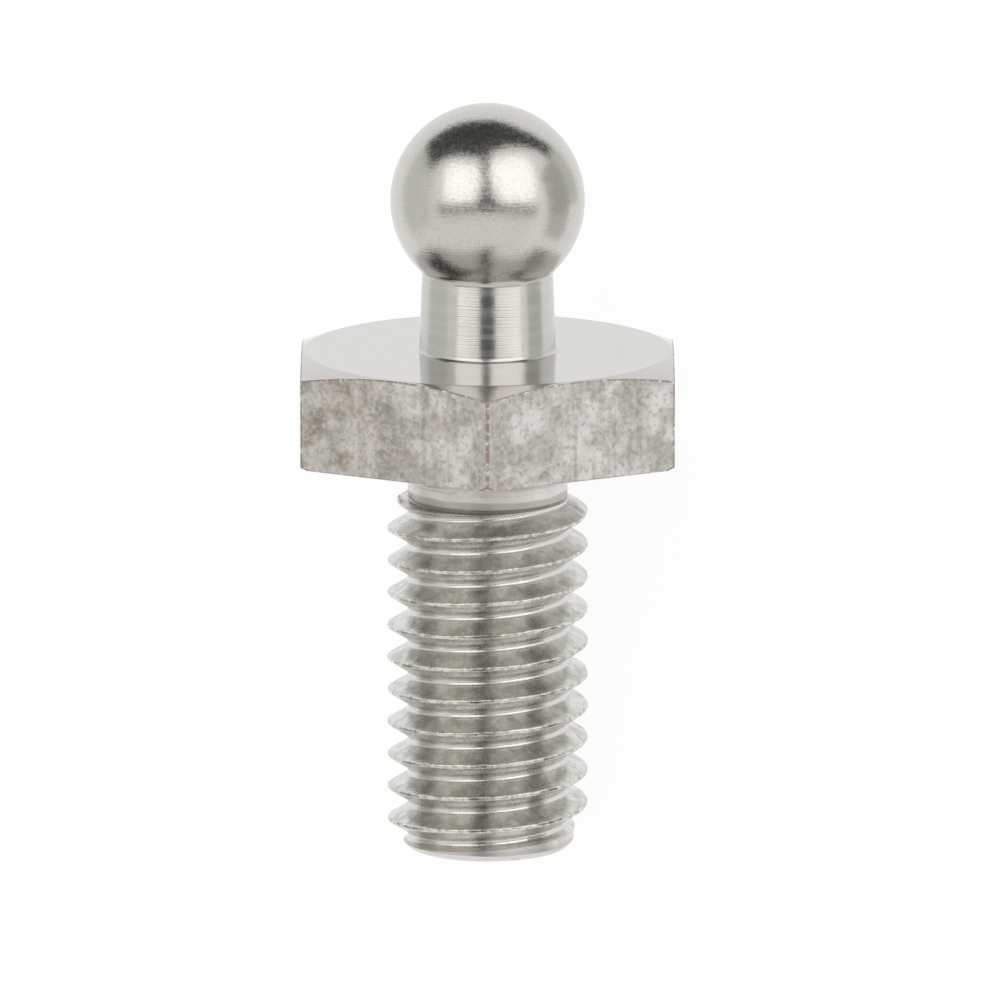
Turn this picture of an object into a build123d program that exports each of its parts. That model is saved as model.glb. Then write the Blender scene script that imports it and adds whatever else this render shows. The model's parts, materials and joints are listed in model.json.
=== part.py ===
from build123d import *
from build123d.topology import SkipClean
import math
import os

# Ball-ended machine screw stud: ball, neck, hexagon and thread, turned and milled from one bar.
#
# The stud is built upright on the Z axis, with its thread end at zero and the ball on top. It is then
# laid down as it comes to rest on a table: on the lower edge of one hexagon flat and on its thread end.

# Known sizes, in millimetres
overall_length = 18.16
ball_top_to_hex_top = 5.97
ball_top_to_hex_underside = 8.41
hex_across_flats = 8.94
thread_diameter = 4.83
full_thread_length = 8.00

# Thirty-two turns to the inch, the fine pitch that goes with this diameter
thread_pitch = 0.79375

# Sizes read from the proportions of the real stud
ball_diameter = 4.66
neck_top_diameter = 3.14
neck_root_diameter = 3.28
ball_blend_radius = 0.28
neck_fillet_radius = 0.20
hex_top_circle = 8.80
hex_top_chamfer_angle = 20
hex_bottom_circle = 10.10
hex_bottom_chamfer_angle = 45
end_chamfer = 0.52
relief_undercut = 0.01
relief_shoulder_rise = 0.04
crest_height_on_the_left = 0.68

# Thread form: sixty degrees between the flanks, and the flats of crest and root as shares of the pitch
flank_angle = 30
crest_share = 1 / 8
root_share = 1 / 6

# How the thread is cut
turn_sections = 9
first_seam_angle = 22
cutter_stand_off = 0.15
cutter_exit = 0.05

# The hexagon flat that faces up at rest, as an angle about the stud's axis
upper_flat_angle = 240

# The turned envelope of the hexagon reaches this far past its corners, and its chamfers are very
# slightly crowned, as a tool leaves them
envelope_margin = 1.0
chamfer_crown = 0.004

sides = 6

# Heights above the thread end
hex_underside = overall_length - ball_top_to_hex_underside
hex_top = overall_length - ball_top_to_hex_top
ball_radius = ball_diameter / 2
ball_centre = overall_length - ball_radius

# Thread
thread_radius = thread_diameter / 2
flank_slope = math.tan(math.radians(flank_angle))
groove_root_width = thread_pitch * root_share
thread_depth = (thread_pitch * (1 - crest_share) - groove_root_width) / 2 / flank_slope
groove_mouth_width = groove_root_width + 2 * thread_depth * flank_slope
root_radius = thread_radius - thread_depth
relief_radius = root_radius - relief_undercut
thread_top = end_chamfer + full_thread_length
relief_start = thread_top + relief_shoulder_rise

# Hexagon
flat_distance = hex_across_flats / 2
corner_distance = flat_distance / math.cos(math.pi / sides)


def turned(*points, angle=360):
    """A solid of revolution about the stud's axis, from the (radius, height) points of its outline."""
    outline = Polyline(*[(radius, 0, height) for radius, height in points], close=True)
    return revolve(make_face(outline), Axis.Z, angle).solid()


def crowned(start, end):
    """An arc between two (radius, height) points, bowed outwards from the straight line by the crown."""
    run = end[0] - start[0]
    rise = end[1] - start[1]
    length = math.hypot(run, rise)
    middle_radius = (start[0] + end[0]) / 2 + chamfer_crown * rise / length
    middle_height = (start[1] + end[1]) / 2 - chamfer_crown * run / length
    return ThreePointArc((start[0], 0, start[1]), (middle_radius, 0, middle_height), (end[0], 0, end[1]))


def shank_blank():
    """The shank before threading: end chamfer, full cylinder, square shoulder, and the relief that is
    turned down to the thread's root and runs into the hexagon.

    It is made of equal sections round the axis, so that each thread crest is a row of short arcs. The
    seams are turned so that the short crests at both ends of the thread stay short.
    """
    section_angle = 360 / turn_sections
    section = turned(
        (0, 0),
        (thread_radius - end_chamfer, 0),
        (thread_radius, end_chamfer),
        (thread_radius, thread_top),
        (relief_radius, relief_start),
        (relief_radius, hex_top),
        (0, hex_top),
        angle=section_angle,
    )
    first, *others = [
        section.rotate(Axis.Z, first_seam_angle + section_angle * i) for i in range(turn_sections)
    ]
    with SkipClean():
        return first.fuse(*others)


def groove(turns):
    """What the threading tool removes in a number of right-handed turns, from the +X side at height 0."""
    outer_radius = thread_radius + cutter_stand_off
    root_half = groove_root_width / 2
    outer_half = root_half + (outer_radius - root_radius) * flank_slope
    section = Polyline(
        (root_radius, 0, -root_half),
        (root_radius, 0, root_half),
        (outer_radius, 0, outer_half),
        (outer_radius, 0, -outer_half),
        close=True,
    )
    path = Helix(pitch=thread_pitch, height=thread_pitch * turns, radius=root_radius)
    return sweep(make_face(section), path=path, is_frenet=True).solid()


def thread_grooves():
    """The whole groove, turn by turn, from below the thread end to where it is clear of the shoulder.

    The crest is half a turn from the groove, so the groove passes the +X side at the height that the
    crest has on the left, at -X. The last turn ends in the relief, where the groove's whole mouth is
    above the shoulder.
    """
    start = crest_height_on_the_left - 2 * thread_pitch
    end = thread_top + groove_mouth_width / 2 + cutter_exit
    turns = (end - start) / thread_pitch
    whole_turns = int(turns)
    one_turn = groove(1)
    cuts = [one_turn.moved(Location((0, 0, start + thread_pitch * i))) for i in range(whole_turns)]
    last_turn = groove(turns - whole_turns)
    return cuts + [last_turn.moved(Location((0, 0, start + thread_pitch * whole_turns)))]


def threaded_shank():
    blank = shank_blank()
    grooves = thread_grooves()
    with SkipClean():
        return blank.cut(*grooves)


def hexagon():
    """The hexagon, with corners along Y, its top and underside faced off with a turned chamfer."""
    prism = extrude(
        Pos(0, 0, hex_underside) * RegularPolygon(flat_distance, sides, major_radius=False, rotation=30),
        hex_top - hex_underside,
    )
    top_radius = hex_top_circle / 2
    bottom_radius = hex_bottom_circle / 2
    outer_radius = corner_distance + envelope_margin
    top_drop = (outer_radius - top_radius) * math.tan(math.radians(hex_top_chamfer_angle))
    bottom_rise = (outer_radius - bottom_radius) * math.tan(math.radians(hex_bottom_chamfer_angle))
    lower_rim = (bottom_radius, hex_underside)
    lower_edge = (outer_radius, hex_underside + bottom_rise)
    upper_edge = (outer_radius, hex_top - top_drop)
    upper_rim = (top_radius, hex_top)
    profile = [
        Line((0, 0, hex_underside), (bottom_radius, 0, hex_underside)),
        crowned(lower_rim, lower_edge),
        Line((outer_radius, 0, lower_edge[1]), (outer_radius, 0, upper_edge[1])),
        crowned(upper_edge, upper_rim),
        Line((top_radius, 0, hex_top), (0, 0, hex_top)),
        Line((0, 0, hex_top), (0, 0, hex_underside)),
    ]
    envelope = revolve(make_face(profile), Axis.Z).solid()
    return prism & envelope


def circle_at(shape, height, radius):
    """The round edge of a shape nearest to a height and radius on the stud's axis."""
    rings = shape.edges().filter_by(GeomType.CIRCLE)
    return min(rings, key=lambda ring: abs(ring.arc_center.Z - height) + abs(ring.radius - radius))


def neck():
    """The tapered neck, flared into the hexagon's top by its fillet and reaching up into the ball."""
    neck_root_radius = neck_root_diameter / 2
    flare_start = (neck_root_radius + neck_fillet_radius, 0, hex_top)
    flare_end = (neck_root_radius, 0, hex_top + neck_fillet_radius)
    neck_top = (neck_top_diameter / 2, 0, ball_centre)
    side = Vector(*neck_top) - Vector(*flare_end)
    profile = [
        Line((0, 0, hex_top), flare_start),
        Spline(flare_start, flare_end, tangents=[(-1, 0, 0), side]),
        Line(flare_end, neck_top),
        Line(neck_top, (0, 0, ball_centre)),
        Line((0, 0, ball_centre), (0, 0, hex_top)),
    ]
    return revolve(make_face(profile), Axis.Z).solid()


def head():
    """Hexagon, tapered neck and ball, blended into one another."""
    ball = Pos(0, 0, ball_centre) * Sphere(ball_radius)
    solid = hexagon() + neck() + ball
    junction_height = ball_centre - math.sqrt(ball_radius**2 - (neck_top_diameter / 2) ** 2)
    return fillet(circle_at(solid, junction_height, neck_top_diameter / 2), ball_blend_radius).solid()


def laid_down(stud):
    """The upright stud turned on its side, with the middle of its underside at the origin.

    Seen from the side, a straight table edge touches the flat's lower edge and the corner where the
    end chamfer meets the thread, so the slope between those two is the tilt of the axis.
    """
    end_corner_height = end_chamfer
    tilt = math.atan((flat_distance - thread_radius) / (hex_underside - end_corner_height))
    along = Vector(0, math.cos(tilt), math.sin(tilt))
    upward = Vector(0, -math.sin(tilt), math.cos(tilt))
    sideways = Vector(1, 0, 0)
    turn = math.radians(upper_flat_angle)
    first_direction = upward * math.cos(turn) - sideways * math.sin(turn)
    lain = stud.moved(Plane(origin=(0, 0, 0), x_dir=first_direction, z_dir=along).location)
    lowest = hex_underside * math.sin(tilt) - flat_distance * math.cos(tilt)
    rearmost = ball_centre * math.cos(tilt) + ball_radius
    foremost = -(thread_radius - end_chamfer) * math.sin(tilt)
    return lain.moved(Location((0, -(rearmost + foremost) / 2, -lowest)))


shank = threaded_shank()
top = head()
with SkipClean():
    upright_stud = shank.fuse(top)
ball_stud = laid_down(upright_stud)
ball_stud.label = "ball_stud"

os.makedirs("parts", exist_ok=True)
export_step(ball_stud, "parts/ball_stud.step")

print("full thread", round(thread_top - end_chamfer, 3), "mm, pitch", round(thread_pitch, 4), "mm")
print("ball_stud", round(ball_stud.volume, 2), "mm3")
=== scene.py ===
# %% [markdown]
# # Ball-ended machine screw stud
#
# The real object is one piece of bright stainless steel: a ball on a short neck, a hexagon for a
# spanner, and a fine right-hand thread with a relief below the hexagon. It is turned from hexagon bar,
# so nearly all of its shape comes from a lathe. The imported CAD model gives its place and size, and this
# notebook makes the finely finished body that stands for it.

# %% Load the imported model
import bpy
import json
import math
from mathutils import Matrix, Vector, noise


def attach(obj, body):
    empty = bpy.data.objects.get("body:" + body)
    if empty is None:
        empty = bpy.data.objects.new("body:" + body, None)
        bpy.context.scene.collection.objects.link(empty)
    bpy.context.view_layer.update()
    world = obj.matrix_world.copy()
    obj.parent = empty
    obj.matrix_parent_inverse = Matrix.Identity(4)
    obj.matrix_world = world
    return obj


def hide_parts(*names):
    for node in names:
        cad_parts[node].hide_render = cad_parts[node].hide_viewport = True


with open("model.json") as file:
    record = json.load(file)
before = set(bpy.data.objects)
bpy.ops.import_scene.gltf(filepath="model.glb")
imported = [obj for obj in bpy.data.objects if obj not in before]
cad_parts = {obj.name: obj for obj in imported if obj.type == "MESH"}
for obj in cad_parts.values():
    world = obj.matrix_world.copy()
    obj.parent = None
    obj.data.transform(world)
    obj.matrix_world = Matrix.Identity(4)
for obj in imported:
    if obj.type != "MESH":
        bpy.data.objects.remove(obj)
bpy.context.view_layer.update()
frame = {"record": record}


# %% [markdown]
# ## Sizes
#
# All sizes of the stud are in millimetres above its thread end, as on a workshop drawing. Blender's
# operators merge points that are closer than a tenth of a millimetre when a metre is one unit, so the
# stud is modelled on a bench where one unit is a millimetre, and is shrunk once when it is laid down.

# %% Sizes of the stud, in millimetres
MM = 0.001
SIDES = 6

OVERALL_LENGTH = 18.16
HEX_UNDERSIDE = 9.75
HEX_TOP = 12.19
HEX_ACROSS_FLATS = 8.94
THREAD_DIAMETER = 4.83
THREAD_PITCH = 0.79375
BALL_DIAMETER = 4.66
NECK_TOP_DIAMETER = 3.14
NECK_ROOT_DIAMETER = 3.28
BALL_BLEND_RADIUS = 0.28
NECK_FLARE_RADIUS = 0.20
NECK_FLARE_ANGLE = 28
HEX_TOP_CIRCLE = 8.80
HEX_BOTTOM_CIRCLE = 10.10
END_CHAMFER = 0.52
END_ROUNDING = 0.16
FULL_THREAD_LENGTH = 8.00
SHOULDER_RISE = 0.04
RELIEF_RADIUS = 1.918
THREAD_DEPTH = 0.4869
CREST_HEIGHT_ON_THE_LEFT = 0.68

BALL_RADIUS = BALL_DIAMETER / 2
BALL_CENTRE = OVERALL_LENGTH - BALL_RADIUS
THREAD_RADIUS = THREAD_DIAMETER / 2
ROOT_RADIUS = THREAD_RADIUS - THREAD_DEPTH
FLAT_DISTANCE = HEX_ACROSS_FLATS / 2
CORNER_DISTANCE = FLAT_DISTANCE / math.cos(math.pi / SIDES)
THREAD_TOP = END_CHAMFER + FULL_THREAD_LENGTH
RELIEF_START = THREAD_TOP + SHOULDER_RISE
print("corners at", round(CORNER_DISTANCE, 3), "mm, relief from", RELIEF_START, "mm")

# %% [markdown]
# ## Where the stud lies
#
# A thing that comes from a lathe is easiest to model upright, with its axis on Z. The real one lies on
# the table on a hexagon flat's edge and on its thread end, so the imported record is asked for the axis
# and for the middle of the ball, and one matrix then takes the bench to the table.

# %% The matrix from the bench to the table
mounts = {mount["name"]: mount for mount in frame["record"]["mounts"]}
to_ball = Vector(mounts["ball"]["axis"]).normalized()
ball_place = Vector(mounts["ball"]["pos_m"])
upper_flat = Vector(mounts["spanner_flat_upper"]["axis"]).normalized()
across = Vector((1, 0, 0))

CORNER_TO_FLAT = math.radians(30)
to_right = across * math.cos(CORNER_TO_FLAT) - upper_flat * math.sin(CORNER_TO_FLAT)
to_front = across * math.sin(CORNER_TO_FLAT) + upper_flat * math.cos(CORNER_TO_FLAT)
thread_end = ball_place - to_ball * BALL_CENTRE * MM

turn = Matrix((to_right, -to_front, to_ball)).transposed().to_4x4()
laying_down = Matrix.Translation(thread_end) @ turn @ Matrix.Scale(MM, 4)
lying_angles = turn.to_euler("XYZ")
print("thread end at", [round(value / MM, 3) for value in thread_end], "mm")

# %% [markdown]
# ## Turning on the lathe
#
# Everything round starts as one point. A plane is merged to its middle, that point is extruded along
# half of the outline, and Spin takes the outline round the Z axis. Doubles are merged where the spin
# closes and where the outline meets the axis, and the normals are made to point outwards after that.

# %% A turned solid from its outline
TURNED_STEPS = 192
MERGE_REACH = 0.0004


def work_on(thing):
    bpy.ops.object.select_all(action="DESELECT")
    thing.select_set(True)
    bpy.context.view_layer.objects.active = thing


def close_and_face_out():
    bpy.ops.mesh.select_all(action="SELECT")
    bpy.ops.mesh.remove_doubles(threshold=MERGE_REACH)
    bpy.ops.mesh.normals_make_consistent(inside=False)


def outline_from_a_point(name, outline):
    bpy.ops.object.select_all(action="DESELECT")
    bpy.ops.mesh.primitive_plane_add(size=1, location=(outline[0][0], 0, outline[0][1]))
    bpy.ops.object.transform_apply(location=True, rotation=False, scale=False)
    piece = bpy.context.active_object
    piece.name = name
    bpy.ops.object.mode_set(mode="EDIT")
    bpy.ops.mesh.select_all(action="SELECT")
    bpy.ops.mesh.merge(type="CENTER")
    for (from_radius, from_height), (radius, height) in zip(outline, outline[1:]):
        step = (radius - from_radius, 0, height - from_height)
        bpy.ops.mesh.extrude_region_move(TRANSFORM_OT_translate={"value": step})
    return piece


def turned(name, outline):
    piece = outline_from_a_point(name, outline)
    bpy.ops.mesh.select_all(action="SELECT")
    bpy.ops.mesh.spin(steps=TURNED_STEPS, angle=2 * math.pi, center=(0, 0, 0), axis=(0, 0, 1))
    close_and_face_out()
    bpy.ops.object.mode_set(mode="OBJECT")
    print(name, len(piece.data.vertices), "points")
    return piece


def arc(centre, radius, start, end, steps):
    """Points on an arc of the outline, with angles in degrees from the outward direction."""
    angles = [math.radians(start + (end - start) * i / steps) for i in range(steps + 1)]
    return [(centre[0] + radius * math.cos(a), centre[1] + radius * math.sin(a)) for a in angles]


# %% [markdown]
# ## Outline of the head
#
# Ball, neck, top face and chamfers are one cut of the lathe, so they are one outline here. The neck is
# very slightly tapered, is blended into the ball, and flares a little just above the hexagon. The facing
# cut has taken the rest of that flare away, so it meets the top face in a crisp corner. The arcs have many
# short steps, so that the later bevel finds no edge on them. A point just inside each flat face's rim
# keeps the soft shading of the rim from spreading over the face.

# %% Outline of the head
FLARE_STEPS = 5
BLEND_STEPS = 8
BALL_STEPS = 72
RIM_SUPPORT = 0.05
TOP_CHAMFER = math.radians(20)
BOTTOM_CHAMFER = math.radians(45)
ENVELOPE_MARGIN = 1.0


def ball_and_neck_outline():
    root = NECK_ROOT_DIAMETER / 2
    neck = NECK_TOP_DIAMETER / 2
    blend_radius = neck + BALL_BLEND_RADIUS
    blend_drop = math.sqrt((BALL_RADIUS + BALL_BLEND_RADIUS) ** 2 - blend_radius**2)
    touch = math.degrees(math.atan2(blend_drop, -blend_radius))
    flare_rise = NECK_FLARE_RADIUS * math.sin(math.radians(NECK_FLARE_ANGLE))
    flare_centre = (root + NECK_FLARE_RADIUS, HEX_TOP + flare_rise)
    flare = arc(flare_centre, NECK_FLARE_RADIUS, 180 + NECK_FLARE_ANGLE, 180, FLARE_STEPS)
    into_ball = arc((blend_radius, BALL_CENTRE - blend_drop), BALL_BLEND_RADIUS, 180, touch, BLEND_STEPS)
    ball = arc((0, BALL_CENTRE), BALL_RADIUS, touch - 180, 90, BALL_STEPS)
    return flare + into_ball + ball[1:-1] + [(0, OVERALL_LENGTH)]


def head_outline():
    outer = CORNER_DISTANCE + ENVELOPE_MARGIN
    top = HEX_TOP_CIRCLE / 2
    bottom = HEX_BOTTOM_CIRCLE / 2
    upwards = ball_and_neck_outline()
    hexagon_ends = [
        (0, HEX_UNDERSIDE),
        (bottom, HEX_UNDERSIDE),
        (outer, HEX_UNDERSIDE + (outer - bottom) * math.tan(BOTTOM_CHAMFER)),
        (outer, HEX_TOP - (outer - top) * math.tan(TOP_CHAMFER)),
        (top, HEX_TOP),
        (top - RIM_SUPPORT, HEX_TOP),
        (upwards[0][0] + RIM_SUPPORT, HEX_TOP),
    ]
    return hexagon_ends + upwards


print("head outline", len(head_outline()), "points")

# %% [markdown]
# ## Hexagon bar
#
# The stud starts as a length of hexagon bar. A six-sided cylinder gets its long edges rounded a little,
# as drawn bar has them, and the turned head is then cut out of it, which leaves the curved rims that
# every chamfered nut has. The rims are broken with a small bevel, because no real edge is quite sharp.

# %% Head cut from the bar
BAR_EDGE_ROUNDING = 0.05
BAR_EDGE_STEPS = 5
BAR_SPARE_LENGTH = 2
LONG_EDGE_RISE = 1
RIM_WIDTH = 0.03
RIM_STEPS = 3
RIM_ANGLE = math.radians(15)


def combine(piece, other, operation):
    join = piece.modifiers.new(operation.lower(), "BOOLEAN")
    join.operation = operation
    join.object = other
    join.solver = "EXACT"
    work_on(piece)
    bpy.ops.object.modifier_apply(modifier=join.name)
    bpy.data.objects.remove(other)
    return piece


bpy.ops.object.select_all(action="DESELECT")
bpy.ops.mesh.primitive_cylinder_add(
    vertices=SIDES,
    radius=CORNER_DISTANCE,
    depth=OVERALL_LENGTH - HEX_UNDERSIDE + BAR_SPARE_LENGTH,
    location=(0, 0, (OVERALL_LENGTH + HEX_UNDERSIDE) / 2),
)
head = bpy.context.active_object
head.name = "head"
bpy.ops.object.transform_apply(location=True, rotation=True, scale=True)
bpy.ops.object.mode_set(mode="EDIT")
bpy.ops.mesh.select_mode(type="EDGE")
bpy.ops.mesh.select_all(action="DESELECT")
bpy.ops.object.mode_set(mode="OBJECT")
for edge in head.data.edges:
    heights = [head.data.vertices[i].co.z for i in edge.vertices]
    edge.select = abs(heights[0] - heights[1]) > LONG_EDGE_RISE
bpy.ops.object.mode_set(mode="EDIT")
bpy.ops.mesh.bevel(offset=BAR_EDGE_ROUNDING, segments=BAR_EDGE_STEPS, affect="EDGES")
bpy.ops.mesh.select_mode(type="VERT")
bpy.ops.object.mode_set(mode="OBJECT")
head = combine(head, turned("head_turning", head_outline()), "INTERSECT")

rim = head.modifiers.new("rim", "BEVEL")
rim.width = RIM_WIDTH
rim.segments = RIM_STEPS
rim.limit_method = "ANGLE"
rim.angle_limit = RIM_ANGLE
rim.use_clamp_overlap = False
work_on(head)
bpy.ops.object.modifier_apply(modifier=rim.name)
print("head", len(head.data.polygons), "faces")

# %% [markdown]
# ## Thread
#
# A thread is a short zigzag carried round and up at the same time. The outline of one pitch, from root
# to root, goes through a Screw modifier, so that each turn starts where the last one ended. The root is
# an arc that runs into both flanks, and the crest is narrow with softly broken edges. The tube is closed
# at both ends, well outside the part that stays.

# %% Outline of one pitch
THREAD_STEPS = 192
THREAD_TURNS = 15
FIRST_ROOT_TURN = -2
ROOT_ARC_RADIUS = 0.114
ROOT_ARC_ANGLE = 60
ROOT_ARC_STEPS = 4
CREST_HALF = 0.036
CREST_EDGE = [(0.030, -0.0173), (0.010, 0.0), (0.003, 0.010), (0.0, 0.021)]
FLANK_STEPS = 3


def one_pitch():
    """(radius, height) points from the middle of a root to the middle of the next."""
    half = THREAD_PITCH / 2
    root_centre = (ROOT_RADIUS + ROOT_ARC_RADIUS, 0)
    root = arc(root_centre, ROOT_ARC_RADIUS, 180, 180 - ROOT_ARC_ANGLE, ROOT_ARC_STEPS)
    crest_edge = [(THREAD_RADIUS - drop, half - CREST_HALF + rise) for drop, rise in CREST_EDGE]
    foot, brow = root[-1], crest_edge[0]
    flank = [
        (foot[0] + (brow[0] - foot[0]) * i / FLANK_STEPS, foot[1] + (brow[1] - foot[1]) * i / FLANK_STEPS)
        for i in range(1, FLANK_STEPS)
    ]
    rising = root + flank + crest_edge
    falling = [(radius, THREAD_PITCH - height) for radius, height in reversed(rising)]
    return rising + falling


print("one pitch has", len(one_pitch()), "points")


# %% Thread
def close_end(low):
    """Fans the open rim at one end of the tube in to a point."""
    middle = FIRST_ROOT_TURN * THREAD_PITCH + THREAD_TURNS * THREAD_PITCH / 2
    bpy.ops.mesh.select_all(action="DESELECT")
    bpy.ops.mesh.select_non_manifold(
        extend=False, use_wire=False, use_boundary=True, use_multi_face=False,
        use_non_contiguous=False, use_verts=False,
    )
    bpy.ops.object.mode_set(mode="OBJECT")
    for edge in thread.data.edges:
        height = sum(thread.data.vertices[i].co.z for i in edge.vertices) / 2
        if (height < middle) != low:
            edge.select = False
    for vertex in thread.data.vertices:
        if (vertex.co.z < middle) != low:
            vertex.select = False
    bpy.ops.object.mode_set(mode="EDIT")
    bpy.ops.mesh.extrude_region_move(TRANSFORM_OT_translate={"value": (0, 0, 0)})
    bpy.ops.mesh.merge(type="CENTER")


first_root = CREST_HEIGHT_ON_THE_LEFT + FIRST_ROOT_TURN * THREAD_PITCH
thread = outline_from_a_point("thread", [(r, first_root + h) for r, h in one_pitch()])
bpy.ops.object.mode_set(mode="OBJECT")
screw = thread.modifiers.new("screw", "SCREW")
screw.axis = "Z"
screw.angle = 2 * math.pi
screw.screw_offset = THREAD_PITCH
screw.iterations = THREAD_TURNS
screw.steps = THREAD_STEPS
screw.render_steps = THREAD_STEPS
screw.use_merge_vertices = True
screw.merge_threshold = MERGE_REACH
work_on(thread)
bpy.ops.object.modifier_apply(modifier=screw.name)
bpy.ops.object.mode_set(mode="EDIT")
bpy.ops.mesh.select_mode(type="EDGE")
bpy.ops.mesh.select_all(action="SELECT")
bpy.ops.mesh.remove_doubles(threshold=MERGE_REACH)
close_end(low=True)
close_end(low=False)
bpy.ops.mesh.select_mode(type="VERT")
close_and_face_out()
bpy.ops.object.mode_set(mode="OBJECT")
print("thread", len(thread.data.vertices), "points")

# %% [markdown]
# ## Wear on the crests
#
# The crests are the first thing that touches anything, so on the real stud they are nicked and slightly
# ragged. Each point near the crest is moved by smooth noise: inwards for nicks, and a little up and down
# the flank for the wavy lip. The noise has no seed, so it is the same in each run.

# %% Uneven crests
WORN_BAND = 0.09
NICK_DEPTH = 0.022
LIP_WAVE = 0.016
NICK_SCALE = 3.6
NICK_BIAS = 0.25
FINE_NICK_SHARE = 0.6
FINE_NICK_SCALE = 2.7
LIP_SCALE = 2.1
LIP_OFFSET = Vector((7, 3, 5))


def wear_of_crests(piece):
    moved = 0
    for vertex in piece.data.vertices:
        radius = math.hypot(vertex.co.x, vertex.co.y)
        worn = (radius - (THREAD_RADIUS - WORN_BAND)) / WORN_BAND
        if worn <= 0:
            continue
        nick = noise.noise(vertex.co * NICK_SCALE)
        nick += FINE_NICK_SHARE * noise.noise(vertex.co * NICK_SCALE * FINE_NICK_SCALE)
        lip = noise.noise(vertex.co * LIP_SCALE + LIP_OFFSET)
        inward = NICK_DEPTH * worn * max(0.0, NICK_BIAS + nick)
        vertex.co.x *= 1 - inward / radius
        vertex.co.y *= 1 - inward / radius
        vertex.co.z += LIP_WAVE * worn * lip
        moved += 1
    print("crest points moved", moved)


wear_of_crests(thread)

# %% [markdown]
# ## First turn of the thread
#
# A thread that starts at full depth is hard to put a nut on, so its first crest is turned down to a short
# narrow cylinder above the end chamfer. Points outside that cylinder are drawn in to it, and a smooth
# step lets the crest grow to its full height over the next quarter of a millimetre.

# %% Turned-down first crest
PILOT_RADIUS = 2.07
PILOT_TOP = 0.36
FULL_CREST_FROM = 0.62


def turn_down_first_crest(piece):
    turned_down = 0
    for vertex in piece.data.vertices:
        radius = math.hypot(vertex.co.x, vertex.co.y)
        if vertex.co.z > FULL_CREST_FROM or radius < PILOT_RADIUS:
            continue
        grown = max(0.0, (vertex.co.z - PILOT_TOP) / (FULL_CREST_FROM - PILOT_TOP))
        grown *= grown * (3 - 2 * grown)
        turned_to = PILOT_RADIUS + (radius - PILOT_RADIUS) * grown
        vertex.co.x *= turned_to / radius
        vertex.co.y *= turned_to / radius
        turned_down += 1
    print("points turned down", turned_down)


turn_down_first_crest(thread)

# %% [markdown]
# ## Shank
#
# The thread is cut before the relief is turned, so the relief's square shoulder cuts the last crest off.
# A turned blank with end chamfer, shoulder and relief is intersected with the threaded tube. The corner
# of the relief tool has left a fine groove at the shoulder's foot. The blank has rings of points on its
# shoulder and on the relief, for the burrs and the tool mark that follow.

# %% Shank
CLEAR_OF_CRESTS = THREAD_RADIUS + 0.3
END_CHAMFER_ANGLE = 45
END_ROUNDING_STEPS = 4
REACH_INTO_HEAD = 0.5
SHOULDER_RINGS = (2.36, 2.30, 2.24, 2.18, 2.12, 2.06, 2.00)
FOOT_GROOVE_WIDTH, FOOT_GROOVE_DEPTH = 0.075, 0.04
TOOL_MARK_HEIGHT = 9.06
TOOL_MARK_RINGS = (-0.09, -0.06, -0.03, 0.0, 0.03, 0.06, 0.09)

shoulder_slope = SHOULDER_RISE / (THREAD_RADIUS - RELIEF_RADIUS)
end_flat = THREAD_RADIUS - END_CHAMFER
rounding_centre = (end_flat - END_ROUNDING * math.tan(math.radians(END_CHAMFER_ANGLE / 2)), END_ROUNDING)
blank_outline = (
    [(0, 0)]
    + arc(rounding_centre, END_ROUNDING, 270, 270 + END_CHAMFER_ANGLE, END_ROUNDING_STEPS)
    + [(CLEAR_OF_CRESTS, END_CHAMFER + CLEAR_OF_CRESTS - THREAD_RADIUS)]
    + [(r, THREAD_TOP + (THREAD_RADIUS - r) * shoulder_slope) for r in (CLEAR_OF_CRESTS, *SHOULDER_RINGS)]
    + [(RELIEF_RADIUS, RELIEF_START)]
    + [(RELIEF_RADIUS - FOOT_GROOVE_DEPTH, RELIEF_START + FOOT_GROOVE_WIDTH / 2)]
    + [(RELIEF_RADIUS, RELIEF_START + FOOT_GROOVE_WIDTH)]
    + [(RELIEF_RADIUS, TOOL_MARK_HEIGHT + offset) for offset in TOOL_MARK_RINGS]
    + [(RELIEF_RADIUS, HEX_UNDERSIDE + REACH_INTO_HEAD), (0, HEX_UNDERSIDE + REACH_INTO_HEAD)]
)
shank = combine(thread, turned("shank_blank", blank_outline), "INTERSECT")
shank.name = "shank"
print("shank", len(shank.data.polygons), "faces")

# %% [markdown]
# ## Torn metal at the shoulder
#
# Where the relief tool ran out of the thread, the real stud has small burrs: a thin lip curled up on the
# left, where the last crest is cut off, and a swollen crest with a nick on the right. A faint step in the
# relief shows where the tool stopped. Each is a push on the points near it that fades to nothing at its
# edges, so the mesh stays closed.

# %% Burrs and tool mark
TORN_ZONE_FROM = THREAD_TOP - 0.6
TORN_ZONE_TO = RELIEF_START + 0.01
SHOULDER_FROM = THREAD_TOP - 0.02
CUT_AZIMUTH, CUT_HALF_ANGLE = 178, 48
CUT_FROM, CUT_REACH, CUT_LEAN, CUT_SHARE = 8.44, 2.20, 0.5, 0.9
LIP_AZIMUTH, LIP_HALF_ANGLE = 183, 11
LIP_RADIUS, LIP_WIDTH, LIP_RISE = 2.13, 0.05, 0.11
TORN_AZIMUTH, TORN_HALF_ANGLE = -7, 17
TORN_SWELL, TORN_CREST_LOSS, TORN_CREST_BAND = 0.085, 0.035, 0.12
BELOW_CREST, FLANK_HEIGHT = -0.25, 0.37
CLEAR_OF_RELIEF = RELIEF_RADIUS + 0.03
NICK_AZIMUTH, NICK_HALF_ANGLE, CREST_NICK_DEPTH = -14, 2.6, 0.055
MARK_FROM, MARK_TO, MARK_DEPTH, MARK_HALF_WIDTH = 170, 272, 0.030, 0.10
TURNS_BELOW_LAST_CREST = 9


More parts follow.
